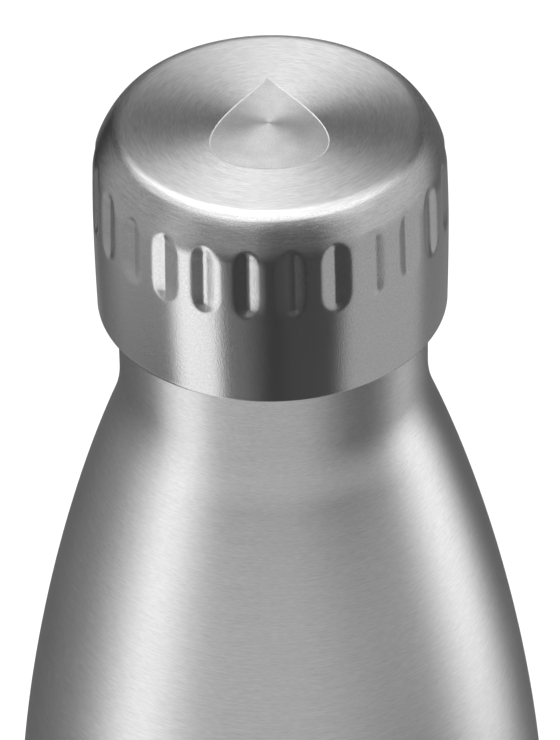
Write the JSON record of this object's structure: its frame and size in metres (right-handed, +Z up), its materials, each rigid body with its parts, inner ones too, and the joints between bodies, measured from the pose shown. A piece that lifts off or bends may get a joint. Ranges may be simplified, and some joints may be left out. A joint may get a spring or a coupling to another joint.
{
  "type": "insulated water bottle",
  "caption": "Slim double-walled steel vacuum bottle with a sloping shoulder and a fluted steel screw cap on a threaded, insulated plug.",
  "frame": {"origin": "centre of the foot ring on the ground plane, on the bottle's axis", "axes": "+Z up along the bottle's axis, from the foot to the cap; -Y faces the viewer of the reference picture, +X is to its right"},
  "size_m": [0.0712, 0.0712, 0.2619],
  "materials": {
    "brushed_steel": "brushed round the axis, satin",
    "cap_steel": "finely brushed side, spun top",
    "liner_steel": "electropolished, satin",
    "base_steel": "satin",
    "copper_foil": "bright foil",
    "solder_glass": "gloss",
    "getter_alloy": "sintered, matte",
    "clip_steel": "satin",
    "plug_plastic": "moulded, satin",
    "insulating_foam": "matte",
    "silicone": "matte"
  },
  "bodies": {
    "bottle": {"outer_shell": "brushed_steel", "outer_base": "base_steel", "base_cover": "base_steel", "vacuum_seal_bead": "solder_glass", "getter_pellet": "getter_alloy", "getter_clip": "clip_steel", "inner_liner": "liner_steel", "liner_base": "liner_steel", "copper_foil": "copper_foil"},
    "seal": {"mouth_gasket": "silicone"},
    "cap": {"cap_shell": "cap_steel", "plug_body": "plug_plastic", "foam_core": "insulating_foam", "plug_cover": "plug_plastic"}
  },
  "joints": [
    {"name": "cap_rise", "type": "slide", "parent": "bottle", "child": "seal", "axis": [0, 0, 1], "range_m": [0, 0.017]},
    {"name": "cap_turn", "type": "hinge", "parent": "seal", "child": "cap", "pos_m": [0, 0, 0.235], "axis": [0, 0, 1], "range_deg": [0, 1530]}
  ],
  "couplings": [
    {"joint": "cap_rise", "follows": "cap_turn", "m_per_rad": 0.0006366}
  ]
}
